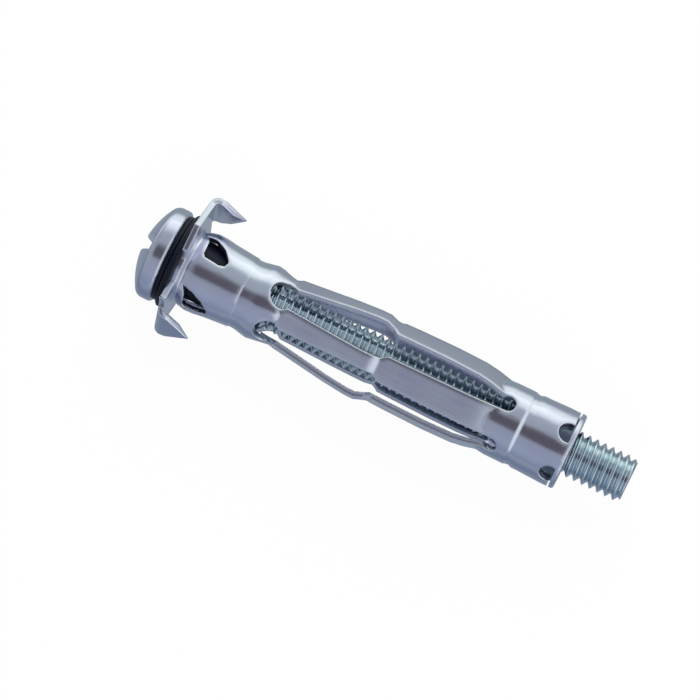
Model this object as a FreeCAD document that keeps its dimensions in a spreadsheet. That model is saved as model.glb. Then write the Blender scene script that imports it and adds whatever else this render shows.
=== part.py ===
import FreeCAD, Part
import os
import re
import Sketcher

os.makedirs("parts", exist_ok=True)
doc = FreeCAD.newDocument("hollow_wall_anchor")
V = FreeCAD.Vector

# Driving dimensions in mm and degrees. X runs along the anchor from the flange to the tip and is
# measured from the flange's head side, Z points up from the floor, turns start at +Z towards +Y.
DIMENSIONS = {
    # pressed sheet
    "sheet": 0.5,
    "flat_half": 4.15,
    "flat_reach": 3.3,
    "notch_turn": -12,
    "notch_depth": 0.93,
    "notch_floor": 1.5,
    "notch_mouth": 4.8,
    "notch_low": 3.1,
    # claws folded from the flange
    "claw_tilt": 25,
    "claw_out": 4.9,
    "claw_shift": 1.84,
    "claw_base": 3.3,
    "claw_bend": 0.25,
    "claw_reach": 3.19,
    "claw_shoulder": 1.2,
    "claw_grind": 2.1,
    # round barrel behind the flange
    "mouth_flare": 0.35,
    "root_r": 3.14,
    "root_fillet": 0.32,
    "throat_x": 1.15,
    "throat_r": 3.3,
    "belly_x": 1.8,
    "belly_r": 3.44,
    "belly_end_x": 2.6,
    "belly_end_r": 3.4,
    "barrel_x": 3.4,
    "barrel_r": 3.28,
    "waist_in_x": 5.55,
    "waist_in_r": 3.09,
    "waist_x": 5.75,
    "waist_r": 3.0,
    "waist_out_x": 6.2,
    "waist_out_r": 3.03,
    "bead_x": 7.35,
    "bead_r": 3.26,
    "hip_x": 9.35,
    "hip_r": 2.95,
    "round_lap": 0.25,
    "round_dip": 0.17,
    # flat legs, first half, out to the fold, by the height of the flat above the axis
    "leg_lap": 0.95,
    "leg_dip": 0.1,
    "hip_flat": 2.9,
    "thigh_x": 11.7,
    "thigh_flat": 3.24,
    "thigh_mid_x": 14.66,
    "thigh_mid_flat": 3.64,
    "knee_x": 16.6,
    "knee_flat": 3.84,
    "knee_end_x": 17.5,
    "knee_end_flat": 3.85,
    "fold_x": 18.6,
    "fold_flat": 3.43,
    # flat legs, second half, back to the round tip
    "shin_x": 20.1,
    "shin_flat": 3.48,
    "shin_mid_x": 23.5,
    "shin_mid_flat": 3.52,
    "shin_end_x": 26.2,
    "shin_end_flat": 3.44,
    "calf_x": 27.3,
    "calf_flat": 3.27,
    "ankle_x": 28.25,
    "ankle_lap": 0.35,
    "leg_tuck": 0.1,
    "ankle_flat": 2.95,
    "ankle_r": 3.14,
    # round tip with the crimp
    "tip_x": 29.1,
    "tip_r": 3.24,
    "crimp_in_x": 30.6,
    "crimp_x": 31.3,
    "crimp_depth": 0.12,
    "crimp_out_x": 32.1,
    "rim_x": 34.2,
    "rim_r": 3.31,
    "end_x": 35.42,
    "end_round": 0.18,
    # legs and the slots between them
    "leg_count": 5,
    "leg_turn": -10.5,
    "hip_half": 0.98,
    "knee_half": 0.71,
    "step_in_x": 18.25,
    "step_out_x": 18.85,
    "shin_half": 1.15,
    "shin_mid_half": 1.22,
    "ankle_half": 1.27,
    "keyhole_x": 9.0,
    "keyhole_r": 1.2,
    "slot_end_x": 29.22,
    "slot_end_r": 0.68,
    # openings beside the flange, windows and slits at the tip
    "opening_turn": 40,
    "opening_x": 1.12,
    "opening_length": 2.62,
    "opening_height": 2.4,
    "window_x": 34.7,
    "window_r": 0.88,
    "window_flat_x": 35.0,
    "slit": 0.15,
    # threaded insert
    "insert_x": 30.1,
    "insert_end_x": 35.2,
    "insert_bore_r": 2.0,
    # screw
    "shank_r": 1.95,
    "thread_root_r": 1.57,
    "thread_pitch": 0.7,
    "thread_mouth": 0.58,
    "thread_end": 0.56,
    "thread_neck": 1.2,
    "screw_length": 41.7,
    "tip_chamfer": 0.4,
    "head_r": 4.06,
    "head_height": 2.62,
    "head_crown": 7.0,
    "head_round": 0.8,
    "head_under_round": 0.35,
    "driver_width": 1.2,
    "driver_depth": 1.0,
    "driver_turn": 7,
    # washers
    "seat_thick": 0.53,
    "seat_r": 4.1,
    "seat_round": 0.12,
    "hub_r": 2.55,
    "hub_length": 3.9,
    "disc_thick": 0.3,
    "disc_r": 3.76,
    "disc_hub_r": 2.9,
    "disc_step": 0.11,
    "washer_bore_r": 2.05,
}

sheet = doc.addObject("Spreadsheet::Sheet", "dims")
for row, (name, value) in enumerate(DIMENSIONS.items(), start=1):
    sheet.set(f"A{row}", name)
    sheet.set(f"B{row}", str(value))
    sheet.setAlias(f"B{row}", name)
doc.recompute()


def size(text):
    """The expression with each dimension's name put after the sheet's."""
    return re.sub("[a-z][a-z_]*", lambda word: ("dims." if word[0] in DIMENSIONS else "") + word[0], text)


def bind(thing, **properties):
    """Add each property's expression, with __ in the keyword for a dot."""
    for path, text in properties.items():
        thing.setExpression(path.replace("__", "."), size(str(text)))
    return thing


def solid(kind, name, **properties):
    return bind(doc.addObject(f"Part::{kind}", name), **properties)


def turned(thing, turn, along="0"):
    """Turn the thing about the anchor's axis, from +Z towards +Y, and move it along the axis."""
    thing.Placement = FreeCAD.Placement(V(1, 0, 0), FreeCAD.Rotation(V(1, 0, 0), 30))
    return bind(thing, Placement__Rotation__Angle=f"-1 * ( {turn} )", Placement__Base__x=along)


def outline(name, corners, plane=None):
    """A closed outline whose corners are pairs of expressions."""
    sketch = doc.addObject("Sketcher::SketchObject", name)
    if plane:
        sketch.Placement = FreeCAD.Placement(V(0, 0, 0), plane)
    count = len(corners)
    ring = [FreeCAD.Rotation(V(0, 0, 1), 360 * i / count).multVec(V(9, 0, 0)) for i in range(count)]
    for i in range(count):
        sketch.addGeometry(Part.LineSegment(ring[i], ring[(i + 1) % count]), False)
    for i in range(count):
        sketch.addConstraint(Sketcher.Constraint("Coincident", i, 2, (i + 1) % count, 1))
    for i, (x, y) in enumerate(corners):
        across = sketch.addConstraint(Sketcher.Constraint("DistanceX", -1, 1, i, 1, ring[i].x))
        up = sketch.addConstraint(Sketcher.Constraint("DistanceY", -1, 1, i, 1, ring[i].y))
        sketch.setExpression(f"Constraints[{across}]", size(str(x)))
        sketch.setExpression(f"Constraints[{up}]", size(str(y)))
    return sketch


def extruded(name, sketch, forward, back="0"):
    solid_part = doc.addObject("Part::Extrusion", name)
    solid_part.Base = sketch
    solid_part.DirMode = "Normal"
    solid_part.Solid = True
    return bind(solid_part, LengthFwd=forward, LengthRev=back)


def spun(name, corners):
    """A solid of revolution about the anchor's axis from an outline of (x, radius) corners."""
    turning = doc.addObject("Part::Revolution", name)
    turning.Source = outline(f"{name}_outline", corners)
    turning.Axis = V(1, 0, 0)
    turning.Base = V(0, 0, 0)
    turning.Angle = 360
    turning.Solid = True
    return turning


def joined(name, *things):
    fuse = doc.addObject("Part::MultiFuse", name)
    fuse.Shapes = list(things)
    fuse.Refine = False
    return fuse


def shared(name, *things):
    common = doc.addObject("Part::MultiCommon", name)
    common.Shapes = list(things)
    return common


def cut(name, base, *tools):
    difference = doc.addObject("Part::Cut", name)
    difference.Base = base
    difference.Tool = tools[0] if len(tools) == 1 else joined(f"{name}_tools", *tools)
    return difference


def axial(name, start, end, radius, **properties):
    """A cylinder along the anchor's axis."""
    body = solid("Cylinder", name, Radius=radius, Height=f"{end} - ( {start} )", **properties)
    body.Placement = FreeCAD.Placement(V(0, 0, 0), FreeCAD.Rotation(V(0, 1, 0), 90))
    return bind(body, Placement__Base__x=start)


FIRST_SLOT = "leg_turn + 180 / leg_count"
PITCH = "360 / leg_count"
LEGS = range(DIMENSIONS["leg_count"])


def reverse_inner(outer):
    """The inner side of a sheet whose outer side is the given corners, walked back."""
    return [(x, f"{height} - sheet") for x, height in reversed(outer)]


# Expansion sleeve: the round parts at both ends of the legs, as (x, radius) corners.
MOUTH = [
    ("mouth_flare", "root_r - sheet"),
    ("0.3 * mouth_flare", "root_r - sheet + 0.3 * mouth_flare"),
    ("0", "root_r - sheet + mouth_flare"),
]
HEAD_SHELL = [
    ("sheet + root_fillet", "root_r"),
    ("throat_x", "throat_r"),
    ("belly_x", "belly_r"),
    ("belly_end_x", "belly_end_r"),
    ("barrel_x", "barrel_r"),
    ("waist_in_x", "waist_in_r"),
    ("waist_x", "waist_r"),
    ("waist_out_x", "waist_out_r"),
    ("bead_x", "bead_r"),
    ("hip_x", "hip_r"),
]
head_round = spun(
    "head_round",
    [
        ("0", "root_r + root_fillet"),
        ("sheet", "root_r + root_fillet"),
        *HEAD_SHELL,
        ("hip_x + round_lap", "hip_r - round_dip"),
        ("hip_x + round_lap", "hip_r - sheet"),
        *reverse_inner(HEAD_SHELL),
        *MOUTH,
    ],
)
TIP_SHELL = [
    ("ankle_x", "ankle_r"),
    ("tip_x", "tip_r"),
    ("crimp_in_x", "tip_r"),
    ("crimp_x", "tip_r - crimp_depth"),
    ("crimp_out_x", "tip_r"),
    ("rim_x", "rim_r"),
]
tip_round = spun(
    "tip_round",
    [
        ("ankle_x - round_lap", "ankle_r - round_dip"),
        *TIP_SHELL,
        ("end_x - end_round", "rim_r"),
        ("end_x - 0.3 * end_round", "rim_r - 0.3 * end_round"),
        ("end_x", "rim_r - end_round"),
        ("end_x", "rim_r - sheet"),
        *reverse_inner(TIP_SHELL),
        ("ankle_x - round_lap", "ankle_r - sheet"),
    ],
)

# Legs: flat strips, each the overlap of its side profile and its outline seen from above.
LEG_SIDE = [
    ("hip_x - leg_lap", "hip_flat - leg_dip"),
    ("hip_x", "hip_flat"),
    ("thigh_x", "thigh_flat"),
    ("thigh_mid_x", "thigh_mid_flat"),
    ("knee_x", "knee_flat"),
    ("knee_end_x", "knee_end_flat"),
    ("fold_x", "fold_flat"),
    ("shin_x", "shin_flat"),
    ("shin_mid_x", "shin_mid_flat"),
    ("shin_end_x", "shin_end_flat"),
    ("calf_x", "calf_flat"),
    ("ankle_x + ankle_lap", "ankle_flat"),
    ("slot_end_x + leg_tuck", "ankle_flat"),
]
LEG_EDGE = [
    ("hip_x - leg_lap", "hip_half"),
    ("hip_x", "hip_half"),
    ("knee_x", "knee_half"),
    ("step_in_x", "knee_half"),
    ("step_out_x", "shin_half"),
    ("shin_mid_x", "shin_mid_half"),
    ("ankle_x", "ankle_half"),
    ("slot_end_x + leg_tuck", "ankle_half"),
]
UPRIGHT = FreeCAD.Rotation(V(1, 0, 0), 90)
leg_profile = LEG_SIDE + reverse_inner(LEG_SIDE)
leg_outline = LEG_EDGE + [(x, f"-1 * {half}") for x, half in reversed(LEG_EDGE)]
legs = []
for number in LEGS:
    side = extruded(f"leg_side_{number}", outline(f"leg_profile_{number}", leg_profile, UPRIGHT), "2", "2")
    top = extruded(f"leg_top_{number}", outline(f"leg_outline_{number}", leg_outline), "2 * knee_flat")
    legs.append(turned(shared(f"leg_{number}", side, top), f"leg_turn + {number} * {PITCH}"))

keyholes = []
slot_ends = []
windows = []
for number in LEGS:
    slot_turn = f"{FIRST_SLOT} + {number} * {PITCH}"
    keyhole = solid("Cylinder", f"keyhole_{number}", Radius="keyhole_r", Height="2 * knee_flat")
    keyholes.append(turned(keyhole, slot_turn, "keyhole_x"))
    slot_end = solid("Cylinder", f"slot_end_{number}", Radius="slot_end_r", Height="2 * knee_flat")
    slot_ends.append(turned(slot_end, slot_turn, "slot_end_x"))
    round_part = solid("Cylinder", f"window_round_{number}", Radius="window_r", Height="2 * rim_r")
    bind(round_part, Placement__Base__x="window_x")
    square_part = solid(
        "Box",
        f"window_square_{number}",
        Length="3 * window_r",
        Width="4 * window_r",
        Height="2 * rim_r",
        Placement__Base__x="window_flat_x - 3 * window_r",
        Placement__Base__y="-2 * window_r",
    )
    windows.append(turned(shared(f"window_{number}", round_part, square_part), slot_turn))

slits = []
for side, start in (("upper", f"{FIRST_SLOT} + {PITCH}"), ("lower", FIRST_SLOT + f" - {PITCH}")):
    band = axial(f"slit_band_{side}", "window_flat_x - slit", "window_flat_x", "2 * rim_r", Angle=PITCH)
    ring = doc.addObject("Part::Compound", f"slit_{side}")
    ring.Links = [band]
    slits.append(turned(ring, f"{start} - 180"))

# The slots run on into both round parts, between the legs' edges.
slot_outline = [
    ("hip_x", "keyhole_r"),
    ("slot_end_x", "slot_end_r"),
    ("slot_end_x", "-1 * slot_end_r"),
    ("hip_x", "-1 * keyhole_r"),
]
slots = []
for number in LEGS:
    slot_plan = outline(f"slot_outline_{number}", slot_outline)
    slot = extruded(f"slot_{number}", slot_plan, "2 * knee_flat")
    slots.append(turned(slot, f"{FIRST_SLOT} + {number} * {PITCH}"))
rounds = cut("rounds", joined("round_parts", head_round, tip_round), *slots)

# Flange: an eight-sided plate whose two slanted ends carry the claws.
SIDE = FreeCAD.Rotation(V(1, 1, 1), 120)
SIN = "sin(claw_tilt)"
COS = "cos(claw_tilt)"
FOLD = "( claw_out - 0.5 * sheet - claw_bend )"


def fold_end(along):
    """A point on the fold's start, the given length along it from the foot of its normal."""
    return (f"{FOLD} * {COS} + ( {along} ) * {SIN}", f"( {along} ) * {COS} - {FOLD} * {SIN}")


def opposite(corner):
    return (f"-1 * ( {corner[0]} )", f"-1 * ( {corner[1]} )")


half_flange = [
    ("flat_reach", "flat_half"),
    fold_end("claw_shift + 0.5 * claw_base"),
    fold_end("claw_shift - 0.5 * claw_base"),
    ("flat_reach", "-1 * flat_half"),
]
flange_outline = outline("flange_outline", half_flange + [opposite(c) for c in half_flange], SIDE)
flange = extruded("flange", flange_outline, "sheet")


def claw(name, turn):
    """One claw: the bend and the pointed blade, folded toward the tip."""
    outer = "sheet + claw_bend"
    sector = FreeCAD.Placement(V(0, 0, 0), FreeCAD.Rotation(V(0, 0, 1), 90))
    around = []
    for label, radius in (("outer", outer), ("inner", "claw_bend")):
        body = solid("Cylinder", f"{name}_{label}", Radius=radius, Height="claw_base")
        body.Angle = 90
        body.Placement = sector
        around.append(
            bind(
                body,
                Placement__Base__x=outer,
                Placement__Base__y=FOLD,
                Placement__Base__z="claw_shift - 0.5 * claw_base",
            )
        )
    bend = cut(f"{name}_bend", *around)
    edge = [
        (outer, "0.5 * claw_base"),
        ("claw_shoulder", "0.47 * claw_base"),
        ("0.55 * claw_shoulder + 0.45 * claw_reach", "0.26 * claw_base"),
    ]
    leaf = edge + [("claw_reach", "0")] + [(x, f"-1 * {half}") for x, half in reversed(edge)]
    leaf = [(x, f"claw_shift + {half}") for x, half in leaf]
    leaf_sketch = outline(f"{name}_leaf_outline", leaf, FreeCAD.Rotation(V(1, 0, 0), 90))
    bind(leaf_sketch, Placement__Base__y=f"{FOLD} + {outer}")
    leaf_plate = extruded(f"{name}_leaf", leaf_sketch, "sheet")
    side = [
        (outer, f"{FOLD} + claw_bend"),
        (outer, f"{FOLD} + {outer}"),
        ("claw_reach", f"{FOLD} + {outer}"),
        ("claw_reach", f"{FOLD} + {outer} - 0.2 * sheet"),
        ("claw_grind", f"{FOLD} + claw_bend"),
    ]
    side_plate = extruded(f"{name}_side", outline(f"{name}_side_outline", side), "9", "9")
    blade = shared(f"{name}_blade", leaf_plate, side_plate)
    return turned(joined(name, bend, blade), turn)


upper_claw = claw("upper_claw", "claw_tilt")
lower_claw = claw("lower_claw", "claw_tilt + 180")

# Openings through the barrel beside the flange, as fractions of their length and height.
TEARDROP = (
    (0.0, 0.5),
    (0.38, 0.44),
    (0.72, 0.2),
    (0.96, -0.14),
    (1.0, -0.26),
    (0.94, -0.43),
    (0.74, -0.5),
    (0.26, -0.48),
    (0.18, -0.36),
    (0.15, 0.16),
)
openings = []
for number in range(4):
    drop = outline(
        f"opening_outline_{number}",
        [(f"opening_x + {x} * opening_length", f"{y} * opening_height") for x, y in TEARDROP],
    )
    turned(drop, f"opening_turn + {number} * 90")
    openings.append(extruded(f"opening_{number}", drop, "2 * knee_flat"))

# Notches that part the two wings of the flange.
notches = []
for number in range(2):
    wedge = outline(
        f"notch_outline_{number}",
        [
            ("-0.5 * notch_floor", "0"),
            ("0.5 * notch_floor", "0"),
            ("0.5 * notch_floor", "notch_low"),
            ("0.5 * notch_mouth", "flat_half + 0.1"),
            ("0.5 * notch_mouth", "2 * flat_half"),
            ("-0.5 * notch_mouth", "2 * flat_half"),
            ("-0.5 * notch_mouth", "flat_half + 0.1"),
            ("-0.5 * notch_floor", "notch_low"),
        ],
        SIDE,
    )
    block = doc.addObject("Part::Compound", f"notch_{number}")
    block.Links = [extruded(f"notch_block_{number}", wedge, "notch_depth", "1")]
    notches.append(turned(block, f"notch_turn + {number} * 180"))

# The plate's hole, flared towards the head.
mouth = spun(
    "mouth",
    [
        ("-1 * sheet", "0"),
        ("2 * sheet", "0"),
        ("2 * sheet", "root_r - sheet"),
        *MOUTH,
        ("-1 * sheet", "root_r - sheet + mouth_flare"),
    ],
)
plate = cut("plate", joined("plate_blank", flange, upper_claw, lower_claw), mouth, *notches)
pressed = joined("pressed", rounds, plate, *legs)
sleeve = cut("sleeve", pressed, *keyholes, *slot_ends, *openings, *windows, *slits)

# Threaded insert: fills the round tip from inside, its groove under the crimp.
insert_ring = spun(
    "insert_ring",
    [
        ("insert_x", "insert_bore_r"),
        ("insert_x", "tip_r - sheet"),
        ("crimp_in_x", "tip_r - sheet"),
        ("crimp_x", "tip_r - crimp_depth - sheet"),
        ("crimp_out_x", "tip_r - sheet"),
        ("rim_x", "rim_r - sheet"),
        ("insert_end_x", "rim_r - sheet"),
        ("insert_end_x", "insert_bore_r"),
    ],
)

# Screw: shank, pan head with a rounded crown, and the driver slot.
SEAT = "-1 * ( seat_thick + disc_thick + disc_step )"
shank = spun(
    "shank",
    [
        (SEAT, "0"),
        (SEAT, "shank_r"),
        (f"{SEAT} + screw_length - tip_chamfer", "shank_r"),
        (f"{SEAT} + screw_length", "shank_r - tip_chamfer"),
        (f"{SEAT} + screw_length", "0"),
    ],
)
pan = spun(
    "pan",
    [
        (SEAT, "0"),
        (SEAT, "head_r"),
        (f"{SEAT} - head_height", "head_r"),
        (f"{SEAT} - head_height", "0"),
    ],
)
crown = solid("Sphere", "crown", Radius="head_crown", Placement__Base__x=f"{SEAT} - head_height + head_crown")
domed = shared("domed", pan, crown)
doc.recompute()


def rim_edges(shape, radius):
    """The numbers of the round edges of the given radius about the axis."""
    found = []
    for number, edge in enumerate(shape.Edges, start=1):
        if isinstance(edge.Curve, Part.Circle) and abs(edge.Curve.Radius - radius) < 1e-4:
            found.append((edge.CenterOfMass.x, number))
    return [number for _, number in sorted(found)]


head_fillet = doc.addObject("Part::Fillet", "head_fillet")
head_fillet.Base = domed
crown_edge, under_edge = rim_edges(domed.Shape, DIMENSIONS["head_r"])
crown_round = DIMENSIONS["head_round"]
under_round = DIMENSIONS["head_under_round"]
head_fillet.Edges = [(crown_edge, crown_round, crown_round), (under_edge, under_round, under_round)]
driver_slot = solid(
    "Box",
    "driver_slot",
    Length="2 * driver_depth",
    Width="driver_width",
    Height="4 * head_r",
    Placement__Base__x=f"{SEAT} - head_height - driver_depth",
    Placement__Base__y="-0.5 * driver_width",
    Placement__Base__z="-2 * head_r",
)
driver = doc.addObject("Part::Compound", "driver")
driver.Links = [driver_slot]
turned(driver, "driver_turn")

# Thread: one ring groove to a turn, from the free end to the neck under the head.
THREADED = DIMENSIONS["screw_length"] - DIMENSIONS["thread_neck"] - DIMENSIONS["thread_end"]
grooves = []
for number in range(int(THREADED / DIMENSIONS["thread_pitch"]) + 1):
    root = f"{SEAT} + screw_length - thread_end - {number} * thread_pitch"
    near = f"{root} - 0.5 * thread_mouth"
    far = f"{root} + 0.5 * thread_mouth"
    corners = [
        (root, "thread_root_r"),
        (far, "shank_r"),
        (far, "1.2 * shank_r"),
        (near, "1.2 * shank_r"),
        (near, "shank_r"),
    ]
    grooves.append(spun(f"groove_{number}", corners))
thread = doc.addObject("Part::Compound", "thread_grooves")
thread.Links = grooves
screw = cut("screw_body", cut("threaded", joined("screw_blank", shank, head_fillet), thread), driver)

# Washers: a collared disc against the flange and a thin stepped disc under the head.
retaining = spun(
    "retaining",
    [
        ("-1 * seat_thick", "washer_bore_r"),
        ("-1 * seat_thick", "seat_r - seat_round"),
        ("-1 * seat_thick + seat_round", "seat_r"),
        ("-1 * seat_round", "seat_r"),
        ("0", "seat_r - seat_round"),
        ("0", "hub_r"),
        ("hub_length", "hub_r"),
        ("hub_length", "washer_bore_r"),
    ],
)
head_disc = spun(
    "head_disc",
    [
        (SEAT, "washer_bore_r"),
        (SEAT, "disc_r"),
        (f"{SEAT} + disc_thick", "disc_r"),
        (f"{SEAT} + disc_thick", "disc_hub_r"),
        ("-1 * seat_thick", "disc_hub_r"),
        ("-1 * seat_thick", "washer_bore_r"),
    ],
)

PARTS = {
    "expansion_sleeve": sleeve,
    "threaded_insert": insert_ring,
    "screw": screw,
    "retaining_washer": retaining,
    "head_washer": head_disc,
}
MIDDLE = f"0.5 * ( head_height - 2 * ( {SEAT} ) - screw_length )"
for label, thing in PARTS.items():
    thing.Label = label
    thing.Placement = FreeCAD.Placement(V(0, 0, 0), FreeCAD.Rotation())
    bind(thing, Placement__Base__x=MIDDLE, Placement__Base__z="flat_half")

doc.recompute()
for thing in doc.Objects:
    if {"Invalid", "Error"} & set(thing.State):
        raise RuntimeError(f"{thing.Label} didn't build")
    if hasattr(thing, "Shape") and (thing.Shape.isNull() or not thing.Shape.isValid()):
        raise RuntimeError(f"{thing.Label} has no valid shape")
for label, thing in PARTS.items():
    thing.Shape.exportStep(f"parts/{label}.step")
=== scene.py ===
"""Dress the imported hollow-wall anchor: finishes, rolled thread, softened edges, studio and camera."""

import logging
import math
from dataclasses import dataclass, field
from enum import Enum

import bmesh
import bpy
from mathutils import Matrix, Vector

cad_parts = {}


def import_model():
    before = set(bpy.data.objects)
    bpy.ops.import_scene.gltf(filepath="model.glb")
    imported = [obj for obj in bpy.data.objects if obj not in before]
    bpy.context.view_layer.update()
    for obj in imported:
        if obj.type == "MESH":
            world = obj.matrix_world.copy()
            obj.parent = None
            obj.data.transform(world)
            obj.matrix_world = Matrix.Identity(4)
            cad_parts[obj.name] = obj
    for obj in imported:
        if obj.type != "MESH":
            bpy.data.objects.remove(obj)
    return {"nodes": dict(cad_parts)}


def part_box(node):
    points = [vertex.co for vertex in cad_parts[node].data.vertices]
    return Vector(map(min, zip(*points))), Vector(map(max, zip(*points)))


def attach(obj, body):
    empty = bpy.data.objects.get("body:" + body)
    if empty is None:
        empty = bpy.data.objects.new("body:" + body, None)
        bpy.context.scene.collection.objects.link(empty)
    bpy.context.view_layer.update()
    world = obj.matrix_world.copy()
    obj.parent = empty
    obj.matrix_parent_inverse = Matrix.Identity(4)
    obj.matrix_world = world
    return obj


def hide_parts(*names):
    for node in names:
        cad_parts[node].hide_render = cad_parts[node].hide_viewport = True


LOG = logging.getLogger("anchor")
MM = 0.001
DEGENERATE = 0.001 * MM
BEVEL_SAMPLES = 6
Colour = tuple[float, float, float]
Place = tuple[float, float, float]
Span = tuple[float, float]


class Slot(Enum):
    """Material slot names; no piece in this script takes them."""

    PRESSED = "pressed_sheet"
    TURNED = "turned_steel"


class Body(Enum):
    """The bodies that the scene's own pieces ride on."""

    SLEEVE = "sleeve"
    SCREW = "screw"


class Value:
    """A socket of a node tree that Python's operators work on."""

    def __init__(self, tree: "Tree", socket: bpy.types.NodeSocket) -> None:
        """Wrap a socket.

        Args:
            tree: the tree that new Math nodes go into.
            socket: the output socket that holds the value.
        """
        self.tree = tree
        self.socket = socket

    def math(self, operation: str, *others: "Value | float", swapped: bool = False) -> "Value":
        """Add a Math node.

        Args:
            operation: the node's operation, such as ADD.
            others: the other operands.
            swapped: whether the first other operand comes before this value.

        Returns:
            The node's result.
        """
        operands = [self, *others]
        if swapped:
            operands[0], operands[1] = operands[1], operands[0]
        inputs = {index: operand for index, operand in enumerate(operands)}
        return self.tree.add("ShaderNodeMath", {"operation": operation}, inputs).out(0)

    def __add__(self, other: "Value | float") -> "Value":
        """This value plus the other."""
        return self.math("ADD", other)

    __radd__ = __add__

    def __sub__(self, other: "Value | float") -> "Value":
        """This value less the other."""
        return self.math("SUBTRACT", other)

    def __rsub__(self, other: "Value | float") -> "Value":
        """The other less this value."""
        return self.math("SUBTRACT", other, swapped=True)

    def __mul__(self, other: "Value | float") -> "Value":
        """This value times the other."""
        return self.math("MULTIPLY", other)

    __rmul__ = __mul__

    def __truediv__(self, other: "Value | float") -> "Value":
        """This value over the other."""
        return self.math("DIVIDE", other)

    def __gt__(self, other: "Value | float") -> "Value":
        """1 where this value is above the other, else 0."""
        return self.math("GREATER_THAN", other)

    def lowest(self, other: "Value | float") -> "Value":
        """The smaller of the two values."""
        return self.math("MINIMUM", other)

    def highest(self, other: "Value | float") -> "Value":
        """The larger of the two values."""
        return self.math("MAXIMUM", other)

    def between(self, low: "Value | float", high: "Value | float") -> "Value":
        """The value kept within two limits."""
        return self.highest(low).lowest(high)

    def ramp(self, start: float, end: float) -> "Value":
        """0 at the start, 1 at the end, and straight in between."""
        return ((self - start) / (end - start)).between(0.0, 1.0)


class Node:
    """A node with its outputs as values."""

    def __init__(self, tree: "Tree", node: bpy.types.Node) -> None:
        """Wrap a node of a tree."""
        self.tree = tree
        self.node = node

    def out(self, name: str | int) -> Value:
        """The output of the given name or number."""
        return Value(self.tree, self.node.outputs[name])


class Tree:
    """A node tree, of a material, a world or a modifier, that is built node by node."""

    def __init__(self, tree: bpy.types.NodeTree) -> None:
        """Empty the tree and wrap it."""
        tree.nodes.clear()
        self.tree = tree

    def add(self, kind: str, settings: dict | None = None, inputs: dict | None = None) -> Node:
        """Add a node.

        Args:
            kind: the node's type.
            settings: properties, set before the inputs; a ramp's stops are (place, colour) pairs.
            inputs: values or links by the socket's name or number.

        Returns:
            The wrapped node.
        """
        node = self.tree.nodes.new(kind)
        for name, setting in (settings or {}).items():
            if name == "stops":
                self.set_stops(node.color_ramp, setting)
            else:
                setattr(node, name, setting)
        for name, value in (inputs or {}).items():
            if isinstance(value, Value):
                self.tree.links.new(value.socket, node.inputs[name])
            else:
                node.inputs[name].default_value = value
        return Node(self, node)

    @staticmethod
    def set_stops(ramp: bpy.types.ColorRamp, stops: list[tuple[float, Colour]]) -> None:
        """Give a colour ramp its stops.

        Args:
            ramp: the ramp to fill.
            stops: (place, colour) pairs in rising order.
        """
        while len(ramp.elements) > 1:
            ramp.elements.remove(ramp.elements[-1])
        for index, (place, colour) in enumerate(stops):
            element = ramp.elements[0] if index == 0 else ramp.elements.new(place)
            element.position = place
            element.color = (*colour, 1.0)

    def mix(self, factor: Value, low: "Value | Colour", high: "Value | Colour") -> Value:
        """Mix two colours.

        Args:
            factor: 0 for the low colour and 1 for the high one.
            low: the colour, or a value that holds it, where the factor is 0.
            high: the colour, or a value that holds it, where the factor is 1.

        Returns:
            The mixed colour.
        """
        inputs = {0: factor}
        for index, colour in ((6, low), (7, high)):
            inputs[index] = colour if isinstance(colour, Value) else (*colour, 1.0)
        return self.add("ShaderNodeMix", {"data_type": "RGBA"}, inputs).out(2)


def rounded(tree: Tree, radius: float) -> Value:
    """The normal of a surface whose edges are rounded in the shading alone.

    Args:
        tree: the material's tree.
        radius: how far from an edge the rounding reaches.

    Returns:
        The rounded normal.
    """
    return tree.add("ShaderNodeBevel", {"samples": BEVEL_SAMPLES}, {"Radius": radius}).out(0)


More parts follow.
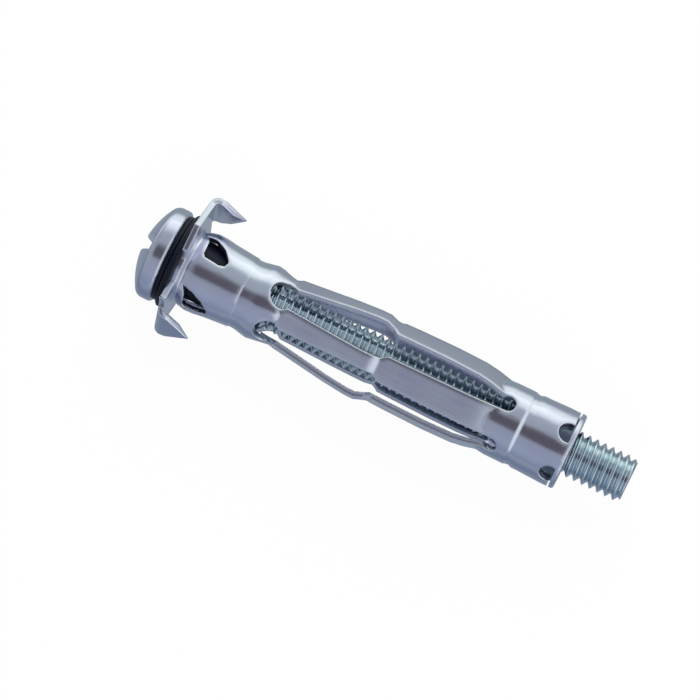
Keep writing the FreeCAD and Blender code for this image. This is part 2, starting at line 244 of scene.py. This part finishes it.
@dataclass(frozen=True)
class ZincFinish:
    """Bright zinc plate: a mirror softened by a fine grain, with drawn ripples and faint tints.

    A span is where a mask goes from 0 to 1. The cloud noise sets the tint's patches and, over a
    narrower span, the patches where the grain stands higher. The rim colour is a painted highlight
    that lightens every edge.
    """

    name: str
    colour: Colour = (0.63, 0.66, 0.73)
    tint: Colour = (0.60, 0.60, 0.72)
    smooth: float = 0.10
    rough: float = 0.24
    ripple_length: float = 5.0 * MM
    ripple_width: float = 0.35 * MM
    ripple_depth: float = 0.006 * MM
    cloud_scale: float = 0.3 / MM
    tint_span: Span = (0.35, 0.65)
    patch_span: Span = (0.48, 0.6)
    grain: float = 0.1 * MM
    grain_share: float = 0.1
    speckle: float = 0.003 * MM
    edge: float = 0.16 * MM
    # Colour of the painted highlight along the edges, and the span of its mask.
    rim: Colour = (0.92, 0.95, 0.97)
    painted_highlight_span: Span = (0.01, 0.12)
    rollover: float = 0.0
    sag: float = 0.35

    def material(self) -> bpy.types.Material:
        """Build the finish.

        Returns:
            The new material.
        """
        material = bpy.data.materials.new(self.name)
        material.use_nodes = True
        tree = Tree(material.node_tree)
        place = tree.add("ShaderNodeTexCoord").out("Object")
        stretch = (1 / self.ripple_length, 1 / self.ripple_width, 1 / self.ripple_width)
        drawn = tree.add("ShaderNodeMapping", {}, {"Vector": place, "Scale": stretch}).out(0)
        ripple = tree.add("ShaderNodeTexNoise", {}, {"Vector": drawn, "Scale": 1.0, "Detail": 2.0}).out(0)
        cloud_inputs = {"Vector": place, "Scale": self.cloud_scale, "Detail": 3.0}
        cloud = tree.add("ShaderNodeTexNoise", {}, cloud_inputs).out(0)
        grain_inputs = {"Vector": place, "Scale": 1 / self.grain, "Detail": 2.0}
        grain = tree.add("ShaderNodeTexNoise", {}, grain_inputs).out(0)
        colour = tree.mix(cloud.ramp(*self.tint_span), self.colour, self.tint)
        roughness = self.smooth + (self.rough - self.smooth) * (grain * cloud * 2.0).between(0.0, 1.0)
        patchy = cloud.ramp(*self.patch_span)
        height = ripple * self.ripple_depth
        height += grain * (patchy * self.speckle + self.grain_share * self.ripple_depth)
        edge = rounded(tree, self.edge)
        flat = tree.add("ShaderNodeNewGeometry").out("Normal")
        lean = tree.add("ShaderNodeVectorMath", {"operation": "DOT_PRODUCT"}, {0: edge, 1: flat}).out("Value")
        # Painted highlight: near edges, where the rounded normal leans off the true one, the base colour
        # turns to the rim colour.
        colour = tree.mix((1.0 - lean).ramp(*self.painted_highlight_span), colour, self.rim)
        if self.rollover:
            wide = rounded(tree, self.rollover)
            edge = tree.add("ShaderNodeMix", {"data_type": "VECTOR"}, {0: self.sag, 4: edge, 5: wide}).out(1)
        bump = tree.add("ShaderNodeBump", {}, {"Height": height, "Distance": 1.0, "Normal": edge}).out(0)
        inputs = {"Base Color": colour, "Metallic": 1.0, "Roughness": roughness, "Normal": bump}
        shader = tree.add("ShaderNodeBsdfPrincipled", {}, inputs).out(0)
        tree.add("ShaderNodeOutputMaterial", {}, {"Surface": shader})
        return material


@dataclass(frozen=True)
class BlackFinish:
    """Dull black of the washers under the head, with a fine mottle."""

    name: str
    colour: Colour = (0.003, 0.004, 0.012)
    worn: Colour = (0.010, 0.010, 0.022)
    worn_span: Span = (0.5, 0.8)
    roughness: float = 0.4
    roughness_spread: float = 0.2
    shine: float = 0.22
    grain: float = 0.15 * MM
    relief_share: float = 0.05
    edge: float = 0.06 * MM

    def material(self) -> bpy.types.Material:
        """Build the finish.

        Returns:
            The new material.
        """
        material = bpy.data.materials.new(self.name)
        material.use_nodes = True
        tree = Tree(material.node_tree)
        place = tree.add("ShaderNodeTexCoord").out("Object")
        inputs = {"Vector": place, "Scale": 1 / self.grain, "Detail": 4.0}
        mottle = tree.add("ShaderNodeTexNoise", {}, inputs).out(0)
        colour = tree.mix(mottle.ramp(*self.worn_span), self.colour, self.worn)
        height = mottle * (self.relief_share * self.grain)
        edge = rounded(tree, self.edge)
        bump = tree.add("ShaderNodeBump", {}, {"Height": height, "Distance": 1.0, "Normal": edge}).out(0)
        roughness = self.roughness + self.roughness_spread * (mottle - 0.5)
        inputs = {
            "Base Color": colour,
            "Roughness": roughness,
            "Normal": bump,
            "Specular IOR Level": self.shine,
        }
        shader = tree.add("ShaderNodeBsdfPrincipled", {}, inputs).out(0)
        tree.add("ShaderNodeOutputMaterial", {}, {"Surface": shader})
        return material


@dataclass
class Edges:
    """How a piece's edges are kept: which stay sharp, and how wide the rounded ones are."""

    crease: float = math.radians(28)
    flat: float = math.radians(1.0)
    merge: float = 0.01 * MM
    first_merge_share: float = 0.1
    width: float = 0.0
    segments: int = 3
    area_weight: int = 90

    def clean(self, mesh: bmesh.types.BMesh) -> None:
        """Merge the mesh's corners, make its flat faces whole and mark its sharp edges.

        Args:
            mesh: the mesh to work on.
        """
        bmesh.ops.remove_doubles(mesh, verts=mesh.verts, dist=self.merge)
        bmesh.ops.dissolve_limit(
            mesh, angle_limit=self.flat, verts=mesh.verts, edges=mesh.edges, use_dissolve_boundaries=False
        )
        for face in mesh.faces:
            face.smooth = True
        for edge in mesh.edges:
            edge.smooth = not edge.is_manifold or edge.calc_face_angle() < self.crease

    def apply(self, piece: bpy.types.Object) -> None:
        """Add the rounding, where there is any, and normals weighed by the faces' areas.

        Args:
            piece: the piece that gets the modifiers.
        """
        if self.width:
            bevel = piece.modifiers.new("rounded_edges", "BEVEL")
            bevel.width = self.width
            bevel.segments = self.segments
            bevel.limit_method = "ANGLE"
            bevel.angle_limit = self.crease
            bevel.use_clamp_overlap = False
        weighted = piece.modifiers.new("flat_faces", "WEIGHTED_NORMAL")
        weighted.mode = "FACE_AREA_WITH_ANGLE"
        weighted.weight = self.area_weight
        weighted.keep_sharp = not self.width


def clean_copy(node: str, name: str, edges: Edges, keep: float | None = None) -> bpy.types.Object:
    """Copy a node's mesh with its doubles merged and its flat faces whole.

    Args:
        node: the node to copy.
        name: the new piece's name.
        edges: how its edges are kept.
        keep: where given, the X past which the mesh is cut off and its hole closed.

    Returns:
        The new piece, in the scene.
    """
    mesh = bmesh.new()
    mesh.from_mesh(FRAME["nodes"][node].data)
    bmesh.ops.remove_doubles(mesh, verts=mesh.verts, dist=edges.first_merge_share * edges.merge)
    if keep is not None:
        gone = [vertex for vertex in mesh.verts if vertex.co.x > keep]
        bmesh.ops.delete(mesh, geom=gone, context="VERTS")
        rim = [edge for edge in mesh.edges if edge.is_boundary]
        bmesh.ops.edgeloop_fill(mesh, edges=rim)
    edges.clean(mesh)
    data = bpy.data.meshes.new(name)
    mesh.to_mesh(data)
    mesh.free()
    piece = bpy.data.objects.new(name, data)
    bpy.context.collection.objects.link(piece)
    edges.apply(piece)
    return piece


@dataclass
class ThreadTree:
    """The modifier tree that winds a rolled thread about an axis along X.

    The surface is a sheet of rows that follow the helix: each row keeps its height in the thread's
    profile while it goes once round and on by one pitch, so that the seam closes on the next turn.
    Over one pitch the profile rests on its crest, falls, rests at its root and rises again.
    """

    name: str = "rolled_thread"
    rows_a_turn: int = 8
    around: int = 40
    lead: int = 2
    closing: int = 4
    fall: Span = (0.125, 0.5)
    rise: Span = (0.625, 1.0)
    nudge: float = 0.001
    seam: float = 0.002 * MM
    inputs: tuple[str, ...] = ("Pitch", "Start", "End", "Crest", "Root", "Chamfer", "Height", "Turns")

    def build(self, material: bpy.types.Material, turns: int) -> bpy.types.NodeTree:
        """Build the tree.

        Args:
            material: what the thread is finished in.
            turns: how many pitches the sheet holds, closing ends included.

        Returns:
            The new geometry tree.
        """
        group = bpy.data.node_groups.new(self.name, "GeometryNodeTree")
        group.interface.new_socket("Geometry", in_out="INPUT", socket_type="NodeSocketGeometry")
        group.interface.new_socket("Geometry", in_out="OUTPUT", socket_type="NodeSocketGeometry")
        for name in self.inputs:
            group.interface.new_socket(name, in_out="INPUT", socket_type="NodeSocketFloat")
        tree = Tree(group)
        given = tree.add("NodeGroupInput")
        pitch, start, end, crest, root, chamfer, height, count = (given.out(name) for name in self.inputs)
        sheet_inputs = {"Size X": 1.0, "Size Y": 1.0}
        sheet_inputs["Vertices X"] = self.rows_a_turn * turns + 1
        sheet_inputs["Vertices Y"] = self.around + 1
        sheet = tree.add("GeometryNodeMeshGrid", {}, sheet_inputs)
        place = tree.add("GeometryNodeInputPosition").out(0)
        parts = tree.add("ShaderNodeSeparateXYZ", {}, {0: place})
        row = (parts.out("X") + 0.5) * count
        turn = parts.out("Y") + 0.5
        along = start - self.lead * pitch + (row + turn) * pitch
        over = (start - along).highest(along - end).highest(0.0) / pitch
        inside = 1.0 - (over > self.nudge)
        phase = (row + self.nudge).math("FRACT")
        rising = phase.ramp(*self.rise)
        falling = 1.0 - phase.ramp(*self.fall)
        profile = root + (crest - root) * rising.highest(falling).between(0.0, 1.0)
        flush = along.between(start, end)
        profile = profile.lowest(crest - (chamfer - (end - flush)).highest(0.0))
        cap = (root - chamfer) * (1.0 - over).between(0.0, 1.0)
        radius = profile * inside + cap * (1.0 - inside)
        angle = turn * (2 * math.pi)
        point = tree.add(
            "ShaderNodeCombineXYZ",
            {},
            {"X": flush, "Y": radius * angle.math("COSINE"), "Z": height + radius * angle.math("SINE")},
        ).out(0)
        moved = tree.add("GeometryNodeSetPosition", {}, {"Geometry": sheet.out("Mesh"), "Position": point})
        seam_inputs = {"Geometry": moved.out(0), "Distance": self.seam}
        closed = tree.add("GeometryNodeMergeByDistance", {}, seam_inputs)
        smooth = tree.add("GeometryNodeSetShadeSmooth", {}, {0: closed.out(0)})
        real = tree.add("GeometryNodeRealizeInstances", {}, {0: smooth.out(0)})
        done = tree.add("GeometryNodeSetMaterial", {}, {"Geometry": real.out(0), "Material": material})
        tree.add("NodeGroupOutput", {}, {0: done.out(0)})
        return group


@dataclass
class Screw:
    """The pan-head screw: its head from the frame, its shank with a rolled thread."""

    pitch: float = 0.7 * MM
    crest: float = 1.96 * MM
    root: float = 1.58 * MM
    chamfer: float = 0.35 * MM
    first_crest: float = 16.99 * MM
    head_overlap: float = 0.3 * MM
    head_margin: float = 0.01 * MM
    winding: ThreadTree = field(default_factory=ThreadTree)
    edges: Edges = field(default_factory=lambda: Edges(width=0.12 * MM))

    def head(self, finish: bpy.types.Material) -> bpy.types.Object:
        """Make the head from the node's own form, closed under the head.

        Args:
            finish: the head's finish.

        Returns:
            The head.
        """
        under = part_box("head_washer")[0][0]
        head = clean_copy("screw", "screw_head", self.edges, keep=under + self.head_margin)
        head.data.materials.append(finish)
        return head

    def thread(self, finish: bpy.types.Material) -> bpy.types.Object:
        """Wind the threaded shank from inside the head to the chamfered end.

        Args:
            finish: the thread's finish.

        Returns:
            The shank, as a plain mesh.
        """
        low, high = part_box("screw")
        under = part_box("head_washer")[0][0] - self.head_overlap
        behind = (self.first_crest - under) / self.pitch
        start = self.first_crest - math.floor(behind) * self.pitch
        turns = math.ceil((high[0] - start) / self.pitch) + self.winding.closing
        group = self.winding.build(finish, turns)
        thread = bpy.data.objects.new("screw_thread", bpy.data.meshes.new("screw_thread"))
        bpy.context.collection.objects.link(thread)
        modifier = thread.modifiers.new("thread", "NODES")
        modifier.node_group = group
        values = {
            "Pitch": self.pitch,
            "Start": start,
            "End": high[0],
            "Crest": self.crest,
            "Root": self.root,
            "Chamfer": self.chamfer,
            "Height": 0.5 * (low[2] + high[2]),
            "Turns": float(turns),
        }
        for item in group.interface.items_tree:
            if item.in_out == "INPUT" and item.name in values:
                modifier[item.identifier] = values[item.name]
        return made_real(thread)

    def build(self, polished: bpy.types.Material, rolled: bpy.types.Material) -> list[bpy.types.Object]:
        """Make the screw's pieces and tie them to the frame.

        Args:
            polished: the head's finish.
            rolled: the thread's finish.

        Returns:
            The pieces.
        """
        pieces = [self.head(polished), self.thread(rolled)]
        for piece in pieces:
            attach(piece, Body.SCREW.value)
            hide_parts("screw")
        return pieces


def made_real(piece: bpy.types.Object) -> bpy.types.Object:
    """Swap a piece's modifiers for the mesh that they make.

    Args:
        piece: the piece to settle.

    Returns:
        The same piece with a plain mesh, its faces pointing outwards.
    """
    bpy.context.view_layer.update()
    evaluated = piece.evaluated_get(bpy.context.evaluated_depsgraph_get())
    data = bpy.data.meshes.new_from_object(evaluated)
    piece.modifiers.clear()
    mesh = bmesh.new()
    mesh.from_mesh(data)
    bmesh.ops.dissolve_degenerate(mesh, dist=DEGENERATE, edges=mesh.edges)
    bmesh.ops.recalc_face_normals(mesh, faces=mesh.faces)
    mesh.to_mesh(data)
    mesh.free()
    piece.data = data
    return piece


@dataclass
class Sleeve:
    """The expansion sleeve, pressed from one sheet, with a crimp narrower than its solid's."""

    edges: Edges = field(default_factory=Edges)
    crimp_middle: float = 12.64 * MM
    crimp_half: float = 0.7 * MM
    crimp_narrow: float = 0.36 * MM
    crimp_inner_share: float = 0.9
    cut_snap: float = 1e-7
    tip_radius: float = 3.24 * MM
    sheet: float = 0.5 * MM

    def pinch(self, shell: bpy.types.Object) -> None:
        """Narrow the crimp round the tip, at the same depth, to the groove that a roller leaves.

        Args:
            shell: the sleeve, whose mesh gets a ring of corners on each side of the crimp.
        """
        low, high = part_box("screw")
        height = 0.5 * (low[2] + high[2])
        mesh = bmesh.new()
        mesh.from_mesh(shell.data)
        for place in (self.crimp_middle - self.crimp_narrow, self.crimp_middle + self.crimp_narrow):
            parts = [*mesh.verts, *mesh.edges, *mesh.faces]
            centre = (place, 0, 0)
            bmesh.ops.bisect_plane(mesh, geom=parts, dist=self.cut_snap, plane_co=centre, plane_no=(1, 0, 0))
        for vertex in mesh.verts:
            away = abs(vertex.co.x - self.crimp_middle)
            if self.crimp_inner_share * self.crimp_narrow < away < self.crimp_half:
                radius = math.hypot(vertex.co.y, vertex.co.z - height)
                outer = radius > self.tip_radius - 0.5 * self.sheet
                grown = (self.tip_radius if outer else self.tip_radius - self.sheet) / radius
                vertex.co.y *= grown
                vertex.co.z = height + (vertex.co.z - height) * grown
        mesh.to_mesh(shell.data)
        mesh.free()

    def build(self, finish: bpy.types.Material) -> list[bpy.types.Object]:
        """Make the sleeve and tie it to the frame.

        Args:
            finish: the zinc finish.

        Returns:
            The pieces.
        """
        shell = clean_copy("expansion_sleeve", "sleeve_shell", self.edges)
        shell.data.materials.append(finish)
        self.pinch(shell)
        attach(shell, Body.SLEEVE.value)
        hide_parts("expansion_sleeve")
        return [shell]


@dataclass
class FrameParts:
    """The frame's own nodes that keep their meshes and only need a finish."""

    def dress(self, finishes: dict[str, bpy.types.Material]) -> list[bpy.types.Object]:
        """Finish the nodes.

        Args:
            finishes: each node's material.

        Returns:
            The nodes' objects.
        """
        dressed = []
        for name, finish in finishes.items():
            node = FRAME["nodes"][name]
            node.data.materials.clear()
            node.data.materials.append(finish)
            dressed.append(node)
        return dressed


@dataclass
class Studio:
    """White floor, soft room light and the camera that looks down on the anchor."""

    frame_pixels: int = 700
    pixels_a_mm: float = 12.2
    lens: float = 200.0
    sensor: float = 36.0
    roll: float = math.radians(26.1)
    lean: float = math.radians(4.3)
    target: Vector = field(default_factory=lambda: Vector((-3.04, -0.39, 4.15)) * MM)
    clip: tuple[float, float] = (10 * MM, 10.0)
    floor_size: float = 3.0
    floor_drop: float = 0.02 * MM
    wall: Colour = (0.42, 0.46, 0.52)
    window: Colour = (1.02, 1.08, 1.12)
    behind_span: Span = (0.45, 0.8)
    ahead_span: Span = (0.36, 0.5)
    past_span: Span = (0.75, 0.9)
    white: Colour = (1.0, 1.0, 1.0)
    paint: Colour = (0.9, 0.9, 0.9)
    seen_white: float = 0.96
    lamps: tuple[tuple[str, Place, float, float], ...] = (
        ("key_lamp", (-0.05, 0.5, 0.45), 0.5, 3.2),
        ("fill_lamp", (0.1, -0.5, 0.6), 0.6, 1.4),
    )
    # The floor as the metal mirrors it is a painted reflection: an emitted ramp across Y, darkest a little
    # towards -Y and brightest towards +Y.
    glow_reach: float = 30 * MM
    painted_floor_reflection: tuple[tuple[float, Colour], ...] = (
        (-1.0, (0.36, 0.41, 0.50)),
        (-0.38, (0.22, 0.27, 0.37)),
        (-0.14, (0.32, 0.37, 0.45)),
        (0.0, (0.33, 0.38, 0.44)),
        (0.42, (0.38, 0.43, 0.46)),
        (0.62, (0.90, 0.98, 0.98)),
        (1.0, (1.10, 1.20, 1.16)),
    )

    def camera(self) -> bpy.types.Object:
        """Place the camera, rolled so that the anchor lies down to the right.

        Returns:
            The camera.
        """
        toward = Vector((math.sin(self.lean), 0.0, math.cos(self.lean)))
        along = Vector((math.cos(self.lean), 0.0, -math.sin(self.lean)))
        across = Vector((0.0, 1.0, 0.0))
        right = along * math.cos(self.roll) + across * math.sin(self.roll)
        up = across * math.cos(self.roll) - along * math.sin(self.roll)
        data = bpy.data.cameras.new("camera")
        data.lens = self.lens
        data.sensor_width = self.sensor
        data.clip_start, data.clip_end = self.clip
        width = self.frame_pixels / self.pixels_a_mm * MM
        distance = width * self.lens / self.sensor
        camera = bpy.data.objects.new("camera", data)
        turn = Matrix((right, up, toward)).transposed().to_4x4()
        camera.matrix_world = Matrix.Translation(self.target + toward * distance) @ turn
        bpy.context.collection.objects.link(camera)
        bpy.context.scene.camera = camera
        return camera

    def world(self) -> None:
        """Light the anchor by a soft room.

        The room is a ramp over the angle from overhead towards +Y, in degrees: dark overhead, with a
        bright window on the +Y side. Another window lies slantwise ahead of the tip, and plain wall
        straight ahead and straight behind. The camera sees white in place of the room.
        """
        room = [
            (-180, (0.32, 0.36, 0.44)),
            (-110, (0.22, 0.27, 0.37)),
            (-92, (0.26, 0.32, 0.44)),
            (-76, (0.37, 0.43, 0.55)),
            (-55, (0.42, 0.48, 0.59)),
            (-30, (0.40, 0.44, 0.53)),
            (-19, (0.40, 0.43, 0.50)),
            (-15, (0.13, 0.12, 0.15)),
            (8, (0.13, 0.12, 0.14)),
            (12, (0.22, 0.22, 0.25)),
            (22, (0.46, 0.50, 0.55)),
            (50, (0.48, 0.55, 0.60)),
            (66, (1.10, 1.18, 1.18)),
            (88, (1.45, 1.54, 1.46)),
            (112, (0.95, 1.06, 1.04)),
            (136, (0.55, 0.62, 0.61)),
            (180, (0.42, 0.46, 0.50)),
        ]
        world = bpy.data.worlds.new("studio")
        bpy.context.scene.world = world
        world.use_nodes = True
        tree = Tree(world.node_tree)
        direction = tree.add("ShaderNodeTexCoord").out("Generated")
        parts = tree.add("ShaderNodeSeparateXYZ", {}, {0: direction})
        tilt = parts.out("Y").math("ARCTAN2", parts.out("Z"))
        place = tilt / (2 * math.pi) + 0.5
        stops = [((degrees + 180) / 360, colour) for degrees, colour in room]
        band = tree.add("ShaderNodeValToRGB", {"stops": stops}, {0: place}).out(0)
        behind = (0.0 - parts.out("X")).ramp(*self.behind_span)
        ahead = parts.out("X").ramp(*self.ahead_span)
        past = parts.out("X").ramp(*self.past_span)
        seen = tree.mix(behind, band, self.wall)
        seen = tree.mix(ahead, seen, self.window)
        seen = tree.mix(past, seen, self.wall)
        rays = tree.add("ShaderNodeLightPath")
        colour = tree.mix(rays.out("Is Camera Ray"), seen, self.white)
        background = tree.add("ShaderNodeBackground", {}, {"Color": colour, "Strength": 1.0}).out(0)
        tree.add("ShaderNodeOutputWorld", {}, {"Surface": background})

    def lamp(self, name: str, place: Vector, size: float, power: float) -> None:
        """Hang a soft square lamp that faces the anchor.

        Args:
            name: the lamp's name.
            place: where it hangs.
            size: its side in metres.
            power: its power in watts.
        """
        data = bpy.data.lights.new(name, "AREA")
        data.size = size
        data.energy = power
        lamp = bpy.data.objects.new(name, data)
        lamp.location = place
        lamp.rotation_euler = (Vector() - place).to_track_quat("-Z", "Y").to_euler()
        lamp.visible_glossy = False
        bpy.context.collection.objects.link(lamp)

    def floor(self) -> None:
        """Lay the white floor, which keeps a faint shadow of the anchor and shows a painted reflection in the
        metal.
        """
        data = bpy.data.meshes.new("floor")
        half = 0.5 * self.floor_size
        outline = ((-half, -half), (half, -half), (half, half), (-half, half))
        corners = [(x, y, -self.floor_drop) for x, y in outline]
        data.from_pydata(corners, [], [(0, 1, 2, 3)])
        floor = bpy.data.objects.new("floor", data)
        bpy.context.collection.objects.link(floor)
        material = bpy.data.materials.new("white_floor")
        material.use_nodes = True
        tree = Tree(material.node_tree)
        rays = tree.add("ShaderNodeLightPath")
        mirrored = (rays.out("Is Glossy Ray") + rays.out("Is Transmission Ray")).between(0.0, 1.0)
        place = tree.add("ShaderNodeNewGeometry").out("Position")
        # Painted reflection: to glossy and transmission rays, the floor glows with a ramp across Y in place
        # of its lit paint.
        side = tree.add("ShaderNodeSeparateXYZ", {}, {0: place}).out("Y") / (2 * self.glow_reach) + 0.5
        stops = [(0.5 + 0.5 * reach, colour) for reach, colour in self.painted_floor_reflection]
        painted_floor_reflection = tree.add("ShaderNodeValToRGB", {"stops": stops}, {0: side}).out(0)
        paint = tree.add("ShaderNodeBsdfDiffuse", {}, {"Color": (*self.paint, 1.0)}).out(0)
        mirror = tree.add("ShaderNodeEmission", {}, {"Color": painted_floor_reflection}).out(0)
        white = tree.add("ShaderNodeEmission", {}, {"Color": (*self.white, 1.0)}).out(0)
        under = tree.add("ShaderNodeMixShader", {}, {0: mirrored, 1: paint, 2: mirror}).out(0)
        share = rays.out("Is Camera Ray") * self.seen_white
        surface = tree.add("ShaderNodeMixShader", {}, {0: share, 1: under, 2: white}).out(0)
        tree.add("ShaderNodeOutputMaterial", {}, {"Surface": surface})
        floor.data.materials.append(material)

    def build(self) -> None:
        """Set up the whole studio."""
        scene = bpy.context.scene
        scene.view_settings.view_transform = "Standard"
        self.camera()
        self.world()
        self.floor()
        for name, place, size, power in self.lamps:
            self.lamp(name, Vector(place), size, power)


def main() -> None:
    """Dress the frame piece by piece and set up the studio."""
    logging.basicConfig(level=logging.INFO, format="%(name)s: %(message)s")
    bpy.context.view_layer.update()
    Studio().build()
    zinc = ZincFinish("bright_zinc", rollover=0.6 * MM).material()
    polished = ZincFinish("head_zinc", ripple_length=2 * MM, ripple_width=2 * MM, edge=0.35 * MM).material()
    turned = ZincFinish(
        "turned_zinc",
        colour=(0.60, 0.67, 0.72),
        tint=(0.50, 0.60, 0.65),
        ripple_length=1.5 * MM,
        ripple_width=1.5 * MM,
        edge=0.04 * MM,
    ).material()
    # Painted shade: the insert's zinc is darkened to stand in for the shade inside the sleeve.
    insert_painted_shade = ZincFinish("insert_zinc_painted_shade", colour=(0.19, 0.21, 0.25), tint=(0.11, 0.13, 0.17)).material()
    black = BlackFinish("black_washer").material()
    pieces = Sleeve().build(zinc) + Screw().build(polished, turned)
    finishes = {"threaded_insert": insert_painted_shade, "retaining_washer": black, "head_washer": black}
    pieces += FrameParts().dress(finishes)
    for piece in pieces:
        LOG.info("%s: %d faces", piece.name, len(piece.data.polygons))


if __name__ == "__main__":
    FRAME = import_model()
    main()
